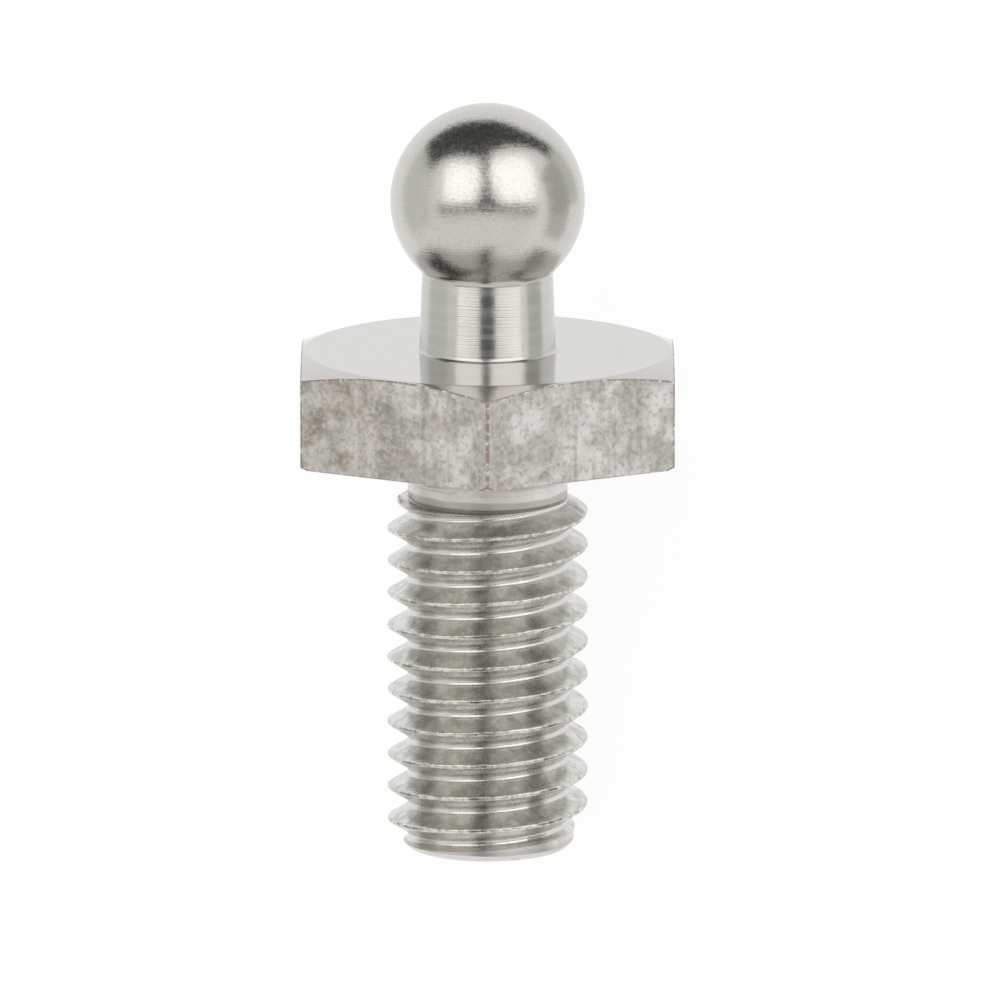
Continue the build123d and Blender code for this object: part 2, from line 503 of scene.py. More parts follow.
def fade(distance, half_width):
    """One at no distance, and smoothly nothing beyond the half width."""
    share = max(0.0, 1 - abs(distance) / half_width)
    return share * share * (3 - 2 * share)


def turned_past(azimuth, middle):
    """Degrees from the middle to the azimuth, the short way round."""
    return (azimuth - middle + 180) % 360 - 180


def tear_at_the_shoulder(piece):
    torn_points = 0
    for vertex in piece.data.vertices:
        x, y, z = vertex.co
        if z < TORN_ZONE_FROM or z > TOOL_MARK_HEIGHT + MARK_HALF_WIDTH:
            continue
        radius = math.hypot(x, y)
        azimuth = math.degrees(math.atan2(y, x))
        moved = radius
        if CUT_FROM < z < TORN_ZONE_TO:
            cut = min(1.0, 2 * fade(turned_past(azimuth, CUT_AZIMUTH), CUT_HALF_ANGLE))
            reach = CUT_REACH - CUT_LEAN * (z - CUT_FROM)
            moved -= max(0.0, radius - reach) * CUT_SHARE * cut
            lip = fade(turned_past(azimuth, LIP_AZIMUTH), LIP_HALF_ANGLE)
            if z > SHOULDER_FROM:
                vertex.co.z += LIP_RISE * lip * math.exp(-(((moved - LIP_RADIUS) / LIP_WIDTH) ** 2))
        torn = fade(azimuth - TORN_AZIMUTH, TORN_HALF_ANGLE)
        if torn and z < TORN_ZONE_TO:
            turns = TURNS_BELOW_LAST_CREST + (azimuth + 180) / 360
            above = z - CREST_HEIGHT_ON_THE_LEFT - turns * THREAD_PITCH
            if BELOW_CREST < above < FLANK_HEIGHT and radius > CLEAR_OF_RELIEF:
                moved += TORN_SWELL * torn * max(0.0, math.sin(math.pi * above / FLANK_HEIGHT))
                moved -= TORN_CREST_LOSS * torn * fade(above, TORN_CREST_BAND)
                moved -= CREST_NICK_DEPTH * fade(azimuth - NICK_AZIMUTH, NICK_HALF_ANGLE)
        if abs(z - TOOL_MARK_HEIGHT) < MARK_HALF_WIDTH:
            turned_from = (azimuth - MARK_FROM) % 360 / (MARK_TO - MARK_FROM)
            along = math.sqrt(fade(turned_from - 0.5, 0.5))
            moved -= MARK_DEPTH * along * fade(z - TOOL_MARK_HEIGHT, MARK_HALF_WIDTH)
        vertex.co.x *= moved / radius
        vertex.co.y *= moved / radius
        torn_points += moved != radius
    print("points torn or marked", torn_points)


tear_at_the_shoulder(shank)

# %% [markdown]
# ## One piece
#
# Head and shank are joined, and the shading is smoothed wherever faces meet at less than 28 degrees.
# Weighted normals then let each large face decide the shading at its corners, so that the narrow rims
# next to it don't bend its reflections.

# %% One piece
SMOOTH_ANGLE = math.radians(28)

stud = combine(head, shank, "UNION")
stud.name = "turned_stud"
stud.data.name = "turned_stud"
work_on(stud)
bpy.ops.object.shade_smooth_by_angle(angle=SMOOTH_ANGLE)
weighted = stud.modifiers.new("weighted", "WEIGHTED_NORMAL")
weighted.keep_sharp = True
bpy.ops.object.modifier_apply(modifier=weighted.name)
triangles = sum(len(face.vertices) - 2 for face in stud.data.polygons)
print("stud", len(stud.data.polygons), "faces,", triangles, "triangles")

# %% [markdown]
# ## Helpers for the finishes
#
# A finish is a graph of shader nodes. A few helpers keep the graphs short: one adds a node and fills in
# its sockets, three calculate, map a range and mix two colours, and the last two make a group with named
# inputs and outputs and place it. What goes into a socket is a plain value or another node's output.

# %% Nodes and groups
def fill(tree, socket, value):
    if isinstance(value, bpy.types.NodeSocket):
        tree.links.new(value, socket)
    else:
        socket.default_value = value


def add(tree, kind, inputs=None, **settings):
    node = tree.nodes.new("ShaderNode" + kind)
    for setting, value in settings.items():
        setattr(node, setting, value)
    for name, value in (inputs or {}).items():
        fill(tree, node.inputs[name], value)
    return node


def calculate(tree, operation, *values):
    node = add(tree, "Math", operation=operation)
    for socket, value in zip(node.inputs, values):
        fill(tree, socket, value)
    return node.outputs[0]


def between(tree, value, low, high, to_low=0.0, to_high=1.0, smooth=True):
    """A value mapped from one range to another, and held at its ends."""
    node = add(
        tree,
        "MapRange",
        {"Value": value, "From Min": low, "From Max": high, "To Min": to_low, "To Max": to_high},
        interpolation_type="SMOOTHSTEP" if smooth else "LINEAR",
    )
    return node.outputs["Result"]


def blend_colours(tree, share, first, second):
    node = add(tree, "Mix", data_type="RGBA")
    fill(tree, node.inputs["Factor"], share)
    fill(tree, node.inputs["A"], first)
    fill(tree, node.inputs["B"], second)
    return node.outputs["Result"]


def new_group(name, inputs, outputs):
    group = bpy.data.node_groups.new(name, "ShaderNodeTree")
    for socket, (kind, value) in inputs.items():
        made = group.interface.new_socket(name=socket, in_out="INPUT", socket_type="NodeSocket" + kind)
        if value is not None:
            made.default_value = value
    for socket, kind in outputs.items():
        group.interface.new_socket(name=socket, in_out="OUTPUT", socket_type="NodeSocket" + kind)
    print("group", name, "gives", ", ".join(outputs))
    return group, group.nodes.new("NodeGroupInput").outputs, group.nodes.new("NodeGroupOutput").inputs


def use(tree, group, inputs):
    node = add(tree, "Group", node_tree=group)
    for name, value in inputs.items():
        fill(tree, node.inputs[name], value)
    return node.outputs


# %% [markdown]
# ## Turning rings
#
# A lathe tool leaves very fine rings round everything that it cuts. The group reads one length across
# the rings, such as the height on the neck or the radius on a face, and turns it into narrow uneven
# ridges. Feed is the saw-toothed step that a tool with a flat lead leaves, one slope a ring, all leaning
# the same way. Tone is slower, because a tool never cuts quite evenly.

# %% Group: turning rings
rings_group, given, result = new_group(
    "turning_rings",
    {
        "Position": ("Vector", None),
        "Across": ("Float", 0.0),
        "Rings per mm": ("Float", 20.0),
        "Waver": ("Float", 0.02),
    },
    {"Height": "Float", "Feed": "Float", "Tone": "Float"},
)
drift = add(rings_group, "TexNoise", {"Vector": given["Position"], "Scale": 0.9, "Detail": 1.0})
drift_across = calculate(rings_group, "MULTIPLY", drift.outputs["Fac"], given["Waver"])
place_across = calculate(rings_group, "ADD", given["Across"], drift_across)
fine_place = calculate(rings_group, "MULTIPLY", place_across, given["Rings per mm"])
fine = add(rings_group, "TexNoise", {"W": fine_place, "Scale": 1.0, "Detail": 2.0}, noise_dimensions="1D")
feed = calculate(rings_group, "SUBTRACT", 1.0, calculate(rings_group, "FRACT", fine_place))
tone_place = calculate(rings_group, "MULTIPLY", fine_place, 0.16)
tone = add(rings_group, "TexNoise", {"W": tone_place, "Scale": 1.0, "Detail": 3.0}, noise_dimensions="1D")
fill(rings_group, result["Height"], fine.outputs["Fac"])
fill(rings_group, result["Feed"], feed)
fill(rings_group, result["Tone"], tone.outputs["Fac"])

# %% [markdown]
# ## Grain
#
# Under a lens even a polished surface is a haze of tiny dents. The group gives that haze as a height, and
# a sparser mask of single bright or dark specks.

# %% Group: grain
grain_group, given, result = new_group(
    "fine_grain",
    {"Position": ("Vector", None), "Scale": ("Float", 12.0)},
    {"Height": "Float", "Specks": "Float"},
)
haze = add(
    grain_group,
    "TexNoise",
    {"Vector": given["Position"], "Scale": given["Scale"], "Detail": 4.0, "Roughness": 0.6},
)
speck_scale = calculate(grain_group, "MULTIPLY", given["Scale"], 1.7)
speck = add(grain_group, "TexNoise", {"Vector": given["Position"], "Scale": speck_scale, "Detail": 1.0})
fill(grain_group, result["Height"], haze.outputs["Fac"])
fill(grain_group, result["Specks"], between(grain_group, speck.outputs["Fac"], 0.60, 0.72))

# %% [markdown]
# ## Mottle of drawn bar
#
# The hexagon's flats still have the skin of the bar: pickled, then drawn through a die, so it is finely
# grained grey with soft brown and green patches, curly pale lines, a few round pits with a bright lip, and
# streaks along the bar. The group layers noises of different sizes. The curly lines are the band where a
# distorted noise passes its middle value, the streaks are a noise stretched along the bar, and the pits
# are the middles of some of the cells of a Voronoi texture.

# %% Group: mottle
mottle_group, given, result = new_group(
    "drawn_mottle",
    {"Position": ("Vector", None), "Scale": ("Float", 1.0)},
    {
        "Blotch": "Float",
        "Tint": "Float",
        "Grains": "Float",
        "Curls": "Float",
        "Pits": "Float",
        "Pit lips": "Float",
        "Streaks": "Float",
        "Height": "Float",
    },
)
scaled = add(mottle_group, "VectorMath", operation="SCALE")
fill(mottle_group, scaled.inputs[0], given["Position"])
fill(mottle_group, scaled.inputs["Scale"], given["Scale"])
skin_place = scaled.outputs[0]
broad = add(mottle_group, "TexNoise", {"Vector": skin_place, "Scale": 1.1, "Detail": 3.0, "Roughness": 0.55})
tint_place = add(mottle_group, "VectorMath", operation="ADD")
fill(mottle_group, tint_place.inputs[0], skin_place)
fill(mottle_group, tint_place.inputs[1], (17.0, 5.0, 9.0))
tint = add(mottle_group, "TexNoise", {"Vector": tint_place.outputs[0], "Scale": 1.6, "Detail": 2.0})
grains = add(mottle_group, "TexNoise", {"Vector": skin_place, "Scale": 7.5, "Detail": 3.0, "Roughness": 0.62})
curly = add(
    mottle_group,
    "TexNoise",
    {"Vector": skin_place, "Scale": 2.9, "Detail": 2.0, "Roughness": 0.5, "Distortion": 0.8},
)
off_middle = calculate(
    mottle_group, "ABSOLUTE", calculate(mottle_group, "SUBTRACT", curly.outputs["Fac"], 0.5)
)
curl_lines = between(mottle_group, off_middle, 0.0, 0.07, 1.0, 0.0)
where_curls = add(mottle_group, "TexNoise", {"Vector": skin_place, "Scale": 0.9, "Detail": 1.0})
curls = calculate(
    mottle_group, "MULTIPLY", curl_lines, between(mottle_group, where_curls.outputs["Fac"], 0.40, 0.62)
)
cells = add(mottle_group, "TexVoronoi", {"Vector": skin_place, "Scale": 2.3, "Randomness": 1.0})
cell_kind = add(mottle_group, "SeparateColor", {"Color": cells.outputs["Color"]})
some_cells = between(mottle_group, cell_kind.outputs[0], 0.72, 1.0)
uneven = calculate(mottle_group, "MULTIPLY", grains.outputs["Fac"], 0.16)
from_pit = calculate(mottle_group, "ADD", cells.outputs["Distance"], uneven)
pits = calculate(
    mottle_group, "MULTIPLY", between(mottle_group, from_pit, 0.13, 0.22, 1.0, 0.0), some_cells
)
off_lip = calculate(mottle_group, "ABSOLUTE", calculate(mottle_group, "SUBTRACT", from_pit, 0.27))
pit_lips = calculate(
    mottle_group, "MULTIPLY", between(mottle_group, off_lip, 0.0, 0.06, 1.0, 0.0), some_cells
)
along_bar = add(mottle_group, "VectorMath", operation="MULTIPLY")
fill(mottle_group, along_bar.inputs[0], skin_place)
fill(mottle_group, along_bar.inputs[1], (4.5, 4.5, 0.30))
streaky = add(mottle_group, "TexNoise", {"Vector": along_bar.outputs[0], "Scale": 1.0, "Detail": 2.0})
raised = calculate(mottle_group, "MULTIPLY", calculate(mottle_group, "ADD", curls, pit_lips), 0.4)
sunk = calculate(mottle_group, "MULTIPLY", pits, -1.2)
curls_and_pits = calculate(mottle_group, "ADD", raised, sunk)
skin_height = calculate(mottle_group, "ADD", curls_and_pits, grains.outputs["Fac"])
fill(mottle_group, result["Blotch"], broad.outputs["Fac"])
fill(mottle_group, result["Tint"], tint.outputs["Fac"])
fill(mottle_group, result["Grains"], grains.outputs["Fac"])
fill(mottle_group, result["Curls"], curls)
fill(mottle_group, result["Pits"], pits)
fill(mottle_group, result["Pit lips"], pit_lips)
fill(mottle_group, result["Streaks"], streaky.outputs["Fac"])
fill(mottle_group, result["Height"], skin_height)

# %% [markdown]
# ## Steel in seven finishes
#
# All of it is the same stainless steel. What differs is how each surface was made, so each material
# starts from one helper that measures the place on the stud in millimetres: the Mapping node undoes the
# laying down, so that Z is the height above the thread end again and the radius is easy to find.

# %% A material that knows its place on the stud
STEEL = (0.62, 0.605, 0.575, 1)


def steel_finish(name):
    material = bpy.data.materials.new(name)
    material.use_nodes = True
    tree = material.node_tree
    shader = tree.nodes["Principled BSDF"]
    shader.inputs["Metallic"].default_value = 1.0
    shader.inputs["Base Color"].default_value = STEEL
    own = add(tree, "TexCoord")
    bench = add(tree, "Mapping", {"Vector": own.outputs["Object"]}, vector_type="TEXTURE")
    bench.inputs["Location"].default_value = thread_end
    bench.inputs["Rotation"].default_value = lying_angles
    bench.inputs["Scale"].default_value = (MM, MM, MM)
    place = bench.outputs["Vector"]
    parts = add(tree, "SeparateXYZ", {"Vector": place})
    flat_place = add(tree, "CombineXYZ", {"X": parts.outputs["X"], "Y": parts.outputs["Y"], "Z": 0.0})
    length = add(tree, "VectorMath", operation="LENGTH")
    fill(tree, length.inputs[0], flat_place.outputs[0])
    print("finish", name)
    return material, tree, shader, place, length.outputs["Value"], parts.outputs["Z"]


def seen_from_the_ball(tree):
    """How far a face looks towards the ball: one at the hexagon's top, minus one at the thread's end."""
    own = add(tree, "TexCoord")
    towards_ball = add(tree, "VectorMath", operation="DOT_PRODUCT")
    fill(tree, towards_ball.inputs[0], own.outputs["Normal"])
    fill(tree, towards_ball.inputs[1], to_ball)
    return towards_ball.outputs["Value"]


def bumps(tree, shader, *layers):
    """Stacks (height, depth in mm) layers of bump under a shader's Normal socket."""
    normal = None
    for height, depth in layers:
        bump = add(tree, "Bump", {"Height": height, "Distance": depth * MM, "Strength": 1.0})
        if normal is not None:
            fill(tree, bump.inputs["Normal"], normal)
        normal = bump.outputs["Normal"]
    fill(tree, shader.inputs["Normal"], normal)


# %% [markdown]
# ### Ball
#
# The ball is polished, so that a socket slides on it, yet its reflections have soft and slightly streaked
# edges. One low roughness would give a perfect mirror. So the roughness wavers with the grain, and two
# shallow bumps, rings first and grain over them, blur the reflections more up and down than across.

# %% Ball: polished, with a fine haze
ball_steel, tree, shader, place, _, height = steel_finish("polished_ball_steel")
grain = use(tree, grain_group, {"Position": place, "Scale": 9.0})
rings = use(tree, rings_group, {"Position": place, "Across": height, "Rings per mm": 14.0, "Waver": 0.1})
fill(tree, shader.inputs["Base Color"], blend_colours(tree, grain["Specks"], STEEL, (0.54, 0.53, 0.50, 1)))
fill(tree, shader.inputs["Roughness"], between(tree, grain["Height"], 0.35, 0.65, 0.20, 0.28))
bumps(tree, shader, (rings["Height"], 0.0022), (grain["Height"], 0.0030))

# %% [markdown]
# ### Neck
#
# The neck keeps the rings of the turning tool, which draw each highlight out into a pale stripe. Rings
# could be modelled, but at twenty-four to the millimetre they would need far too many faces, so they are
# a bump. Feed tips each ring a little towards the ball, and that is what makes the stripes bright.

# %% Neck: turned, with rings that spread each highlight up and down
neck_steel, tree, shader, place, _, height = steel_finish("turned_neck_steel")
rings = use(tree, rings_group, {"Position": place, "Across": height, "Rings per mm": 24.0, "Waver": 0.04})
tone = blend_colours(tree, rings["Tone"], (0.55, 0.54, 0.51, 1), (0.66, 0.65, 0.62, 1))
fill(tree, shader.inputs["Base Color"], tone)
fill(tree, shader.inputs["Roughness"], between(tree, rings["Tone"], 0.3, 0.7, 0.18, 0.24))
bumps(tree, shader, (rings["Feed"], 0.0056), (rings["Height"], 0.0012))

# %% [markdown]
# ### Top of the hexagon
#
# The top was faced in one clean cut and mirrors the neck. It needs almost no bump: rings of a few
# ten-thousandths of a millimetre soften the mirrored neck, and deeper ones would break it up.

# %% Top of the hexagon: faced on the lathe, nearly a mirror
top_steel, tree, shader, place, radius, _ = steel_finish("faced_top_steel")
rings = use(tree, rings_group, {"Position": place, "Across": radius, "Rings per mm": 16.0, "Waver": 0.05})
grain = use(tree, grain_group, {"Position": place, "Scale": 5.0})
tone = blend_colours(tree, rings["Tone"], (0.55, 0.54, 0.52, 1), (0.61, 0.60, 0.58, 1))
fill(tree, shader.inputs["Base Color"], tone)
fill(tree, shader.inputs["Roughness"], between(tree, grain["Height"], 0.35, 0.65, 0.08, 0.13))
bumps(tree, shader, (rings["Height"], 0.0003), (grain["Height"], 0.0004))

# %% [markdown]
# ### Flats
#
# The flats are the only faces that no tool has cut. Their colours are laid over one another from the
# broadest to the finest: dull and clear patches, rosy and greenish tints, stains along the bar, dark
# grains, pale curls and grains, and the pits last. The first two colours are also darker on the left side
# of the stud than on the right.

# %% Flats: the mottled skin of the bar, darker on one side than on the other
flat_steel, tree, shader, place, *_ = steel_finish("mottled_flat_steel")
mottle = use(tree, mottle_group, {"Position": place, "Scale": 1.0})
grain = use(tree, grain_group, {"Position": place, "Scale": 14.0})
sides = add(tree, "SeparateXYZ", {"Vector": place})
# Dull and clear colours both grow lighter from the left side of the stud towards the right.
lighter_towards_the_right = between(tree, sides.outputs["X"], -FLAT_DISTANCE, -0.5)
dull = blend_colours(tree, lighter_towards_the_right, (0.34, 0.305, 0.265, 1), (0.52, 0.505, 0.48, 1))
clear = blend_colours(tree, lighter_towards_the_right, (0.60, 0.58, 0.55, 1), (0.76, 0.745, 0.72, 1))
skin = blend_colours(tree, between(tree, mottle["Blotch"], 0.40, 0.60), dull, clear)
rosy = between(tree, mottle["Tint"], 0.53, 0.66, 0.0, 0.38)
skin = blend_colours(tree, rosy, skin, (0.60, 0.50, 0.45, 1))
greenish = between(tree, mottle["Tint"], 0.47, 0.33, 0.0, 0.45)
skin = blend_colours(tree, greenish, skin, (0.36, 0.36, 0.30, 1))
stained = between(tree, mottle["Streaks"], 0.52, 0.70, 0.0, 0.42)
skin = blend_colours(tree, stained, skin, (0.33, 0.30, 0.26, 1))
dark_grains = between(tree, mottle["Grains"], 0.52, 0.34, 0.0, 0.40)
skin = blend_colours(tree, dark_grains, skin, (0.27, 0.24, 0.21, 1))
lines = calculate(tree, "MAXIMUM", mottle["Curls"], mottle["Pit lips"])
pale_lines = calculate(tree, "MULTIPLY", lines, 0.50)
pale_grains = between(tree, mottle["Grains"], 0.52, 0.68, 0.0, 0.40)
pale = calculate(tree, "MAXIMUM", pale_lines, pale_grains)
skin = blend_colours(tree, pale, skin, (0.74, 0.73, 0.71, 1))
dark_pits = calculate(tree, "MULTIPLY", mottle["Pits"], 0.7)
skin = blend_colours(tree, dark_pits, skin, (0.19, 0.17, 0.15, 1))
fill(tree, shader.inputs["Base Color"], skin)
fill(tree, shader.inputs["Roughness"], between(tree, mottle["Grains"], 0.3, 0.7, 0.52, 0.42))
bumps(tree, shader, (mottle["Height"], 0.0050), (grain["Height"], 0.0030))

# %% [markdown]
# ### Rims
#
# Where two faces of the hexagon meet, the edge is rubbed bare in places and stained brown between them.
# The rims are real bevels, so they simply get a material of their own, and no mask has to find them.

# %% Rim of the hexagon: worn bright in places
rim_steel, tree, shader, place, *_ = steel_finish("worn_rim_steel")
mottle = use(tree, mottle_group, {"Position": place, "Scale": 1.0})
grain = use(tree, grain_group, {"Position": place, "Scale": 6.0})
bare = between(tree, mottle["Grains"], 0.50, 0.66)
worn = blend_colours(tree, bare, (0.37, 0.305, 0.275, 1), (0.74, 0.72, 0.70, 1))
fill(tree, shader.inputs["Base Color"], worn)
fill(tree, shader.inputs["Roughness"], between(tree, grain["Height"], 0.35, 0.65, 0.48, 0.34))
bumps(tree, shader, (mottle["Height"], 0.0100), (grain["Height"], 0.0060))

# %% [markdown]
# ### Thread
#
# Each flank was scraped by the cutting tool and has been clouded by handling since. One material covers
# crest, flanks and root: the distance from the axis says how far out a point is, and the direction of
# its normal says whether it is on an upper or a lower flank. Both are used for painted shade: the flanks
# are painted darker towards the crest, and the lower flanks darker and browner than the upper ones.

# %% Thread: cut flanks, clouded, with painted shade towards the crest and on the lower flanks
thread_steel, tree, shader, place, radius, _ = steel_finish("cut_thread_steel")
grain = use(tree, grain_group, {"Position": place, "Scale": 7.0})
mottle = use(tree, mottle_group, {"Position": place, "Scale": 2.2})
rings = use(tree, rings_group, {"Position": place, "Across": radius, "Rings per mm": 30.0, "Waver": 0.3})
facing = seen_from_the_ball(tree)
# Painted shade: the flank colours darken from root to crest, and the lower flanks are darker and browner.
painted_shade_to_crest = between(tree, radius, ROOT_RADIUS + 0.05, THREAD_RADIUS - 0.06)
upper_flank_with_painted_shade = blend_colours(tree, painted_shade_to_crest, (0.78, 0.77, 0.745, 1), (0.72, 0.725, 0.69, 1))
lower_flank_with_painted_shade = blend_colours(tree, painted_shade_to_crest, (0.72, 0.69, 0.64, 1), (0.60, 0.59, 0.56, 1))
flank = blend_colours(tree, between(tree, facing, -0.3, 0.3), lower_flank_with_painted_shade, upper_flank_with_painted_shade)
clouded = between(tree, mottle["Blotch"], 0.58, 0.38, 0.0, 0.42)
flank = blend_colours(tree, clouded, flank, (0.30, 0.30, 0.265, 1))
grainy = between(tree, grain["Height"], 0.35, 0.65, 0.0, 0.12)
flank = blend_colours(tree, grainy, flank, (0.24, 0.235, 0.21, 1))
crest = between(tree, radius, THREAD_RADIUS - 0.06, THREAD_RADIUS - 0.025)
root = between(tree, radius, ROOT_RADIUS + 0.02, ROOT_RADIUS + 0.07, 1.0, 0.0)
shown = blend_colours(tree, root, flank, (0.70, 0.69, 0.66, 1))
rubbed = between(tree, grain["Height"], 0.40, 0.58)
battered = blend_colours(tree, rubbed, (0.50, 0.47, 0.44, 1), (0.76, 0.745, 0.72, 1))
shown = blend_colours(tree, crest, shown, battered)
fill(tree, shader.inputs["Base Color"], shown)
fill(tree, shader.inputs["Roughness"], between(tree, grain["Height"], 0.35, 0.65, 0.20, 0.30))
bumps(tree, shader, (rings["Height"], 0.0020), (grain["Height"], 0.0050))

# %% [markdown]
# ### Relief and thread end
#
# The relief and the thread's end were cut last, with a rougher tool, and look paler and duller. The same
# group of rings is used with other values: broad tones, thin dark lines where the rings are deepest, and
# a rosy tint in patches.

# %% Relief and thread end: pale and satin
satin_steel, tree, shader, place, _, height = steel_finish("satin_relief_steel")
rings = use(tree, rings_group, {"Position": place, "Across": height, "Rings per mm": 24.0, "Waver": 0.10})
grain = use(tree, grain_group, {"Position": place, "Scale": 8.0})
mottle = use(tree, mottle_group, {"Position": place, "Scale": 1.4})
paler = between(tree, rings["Tone"], 0.38, 0.62)
tone = blend_colours(tree, paler, (0.50, 0.48, 0.455, 1), (0.74, 0.725, 0.70, 1))
rosy = between(tree, mottle["Tint"], 0.50, 0.66, 0.0, 0.35)
tone = blend_colours(tree, rosy, tone, (0.60, 0.52, 0.48, 1))
dark_lines = between(tree, rings["Height"], 0.44, 0.30, 0.0, 0.4)
tone = blend_colours(tree, dark_lines, tone, (0.30, 0.29, 0.27, 1))
fill(tree, shader.inputs["Base Color"], tone)
fill(tree, shader.inputs["Roughness"], between(tree, grain["Height"], 0.35, 0.65, 0.30, 0.42))
bumps(tree, shader, (rings["Height"], 0.0060), (grain["Height"], 0.0030))

# %% [markdown]
# ## Which finish goes where
#
# The stud is one mesh, so each face is given its finish by its place on the bench: its height, its
# distance from the axis, and how its normal points. The narrow faces between two flats, or between a flat
# and a chamfer, are the rounded edges and the bevelled rims.

# %% Finishes by place
FINISHES = [ball_steel, neck_steel, top_steel, flat_steel, rim_steel, thread_steel, satin_steel]
BALL, NECK, TOP, FLAT, RIM, THREAD, SATIN = range(len(FINISHES))
NECK_ABOVE_BALL_JUNCTION = 0.10
FLARE_SEEN_AS_TOP = 0.7
FLAT_TO_FLAT = 360 / SIDES
FLAT_TOLERANCE = 3
UPRIGHT_LEAN, TOP_LEAN, UNDERSIDE_LEAN = 0.05, 0.92, -0.68
CHAMFER_LEANS = 0.66, 0.75
HAIR, HAIR_ON_RELIEF, HAIR_ON_TOP, HAIR_ON_END = 0.01, 0.003, 0.0001, 0.02
HEAD_FROM = HEX_UNDERSIDE - HAIR
HEAD_OUTSIDE = THREAD_RADIUS + 0.1
ball_junction = BALL_CENTRE - math.sqrt(BALL_RADIUS**2 - (NECK_TOP_DIAMETER / 2) ** 2)


def finish_on_the_hexagon(face):
    if abs(face.normal.z) < UPRIGHT_LEAN:
        looks = math.degrees(math.atan2(face.normal.y, face.normal.x))
        past_flat = (looks + FLAT_TO_FLAT / 2) % FLAT_TO_FLAT - FLAT_TO_FLAT / 2
        return FLAT if abs(past_flat) < FLAT_TOLERANCE else RIM
    if face.normal.z > TOP_LEAN:
        return TOP
    return SATIN if face.normal.z < UNDERSIDE_LEAN else RIM


def finish_on_the_shank(face, radius, height):
    low_lean, high_lean = CHAMFER_LEANS
    on_relief = radius < RELIEF_RADIUS + HAIR_ON_RELIEF and height > RELIEF_START - HAIR
    leans_like_chamfer = low_lean < abs(face.normal.z) < high_lean
    on_chamfer = height < END_ROUNDING or (leans_like_chamfer and height < END_CHAMFER + HAIR_ON_END)
    on_pilot = radius > PILOT_RADIUS - HAIR and height < PILOT_TOP + HAIR_ON_END
    return SATIN if on_relief or on_chamfer or on_pilot else THREAD


def finish_of(face):
    radius = math.hypot(face.center.x, face.center.y)
    height = face.center.z
    if height > ball_junction + NECK_ABOVE_BALL_JUNCTION:
        return BALL
    if height > HEX_TOP + HAIR_ON_TOP and radius < NECK_ROOT_DIAMETER / 2 + NECK_FLARE_RADIUS:
        return TOP if face.normal.z > FLARE_SEEN_AS_TOP else NECK
    if height > HEAD_FROM:
        return finish_on_the_hexagon(face) if radius > HEAD_OUTSIDE else SATIN
    return finish_on_the_shank(face, radius, height)


stud.data.materials.clear()
for finish in FINISHES:
    stud.data.materials.append(finish)
for face in stud.data.polygons:
    face.material_index = finish_of(face)
counts = [sum(face.material_index == i for face in stud.data.polygons) for i in range(len(FINISHES))]
print("faces of each finish", dict(zip([finish.name for finish in FINISHES], counts)))

# %% [markdown]
# ## On the table
#
# The finished stud is shrunk to metres and laid down in one go. That changes its mesh and not its object,
# which stays at the origin. It then stands in for the imported model's node, which is hidden, and rides on
# the same body.

# %% Lay the stud down
stud.data.transform(laying_down)
stud.data.update()
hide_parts("ball_stud")
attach(stud, "root")
print("lowest point at", round(min(vertex.co.z for vertex in stud.data.vertices) / MM, 3), "mm")

# %% [markdown]
# ## Camera
#
# The stud is seen as if it stood upright, a little from above. So the camera looks down on the lying stud
# with the stud's axis as its own upward direction, and a corner of the hexagon in front. A long lens from
# far away keeps the edges nearly parallel. Scale and aim are in pixels here, and are turned into
# millimetres.

# %% Camera
CAMERA_DISTANCE = 0.4
CAMERA_RISE = math.radians(11.8)
CLIP_START, CLIP_END = 0.01, 10
SENSOR_WIDTH = 36
PIXELS_PER_MM = 41.6
AXIS_COLUMN = 487.6
AIM_ROW = 492
AIM_HEIGHT = 8.69
IMAGE_SIZE = 1000

view_from = to_ball * math.sin(CAMERA_RISE) + to_front * math.cos(CAMERA_RISE)
image_up = (to_ball - view_from * to_ball.dot(view_from)).normalized()
centre_shift_right = (IMAGE_SIZE / 2 - AXIS_COLUMN) / PIXELS_PER_MM * MM
centre_shift_up = (AIM_ROW - IMAGE_SIZE / 2) / PIXELS_PER_MM * MM
aim = thread_end + to_ball * AIM_HEIGHT * MM + to_right * centre_shift_right + image_up * centre_shift_up

camera_data = bpy.data.cameras.new("camera")
camera = bpy.data.objects.new("camera", camera_data)
bpy.context.scene.collection.objects.link(camera)
camera_data.sensor_width = SENSOR_WIDTH
camera_data.lens = PIXELS_PER_MM * (CAMERA_DISTANCE / MM) * SENSOR_WIDTH / IMAGE_SIZE
camera_data.clip_start = CLIP_START
camera_data.clip_end = CLIP_END
looking = Matrix((to_right, image_up, view_from)).transposed().to_4x4()
camera.matrix_world = Matrix.Translation(aim + view_from * CAMERA_DISTANCE) @ looking
bpy.context.scene.camera = camera
print("lens", round(camera_data.lens, 1), "mm")

# %% [markdown]
# ## Studio
#
# Polished steel shows its surroundings more than itself. The real one stood between two large softboxes
# with a narrow dark gap between them, a dark ceiling above and white paper all round, and those shapes
# can be read off the ball. Lamps and far cards are placed by direction, in degrees from the camera. Near
# cards are placed on the bench, in millimetres. No card is seen by the camera, so other views stay clear.

# %% Directions in the studio
LAMP_DISTANCE = 0.45
FLAG_DISTANCE = 0.30


def towards(azimuth, elevation):
    """A direction from the ball: degrees to the right of the camera, and degrees up the image."""
    a, e = math.radians(azimuth), math.radians(elevation)
    level = to_right * math.sin(a) + view_from * math.cos(a)
    return level * math.cos(e) + image_up * math.sin(e)


def facing_the_ball(azimuth, elevation, distance):
    direction = towards(azimuth, elevation)
    sideways = image_up.cross(direction).normalized()
    upwards = direction.cross(sideways)
    turned_to_it = Matrix((sideways, upwards, direction)).transposed().to_4x4()
    return Matrix.Translation(ball_place + direction * distance) @ turned_to_it


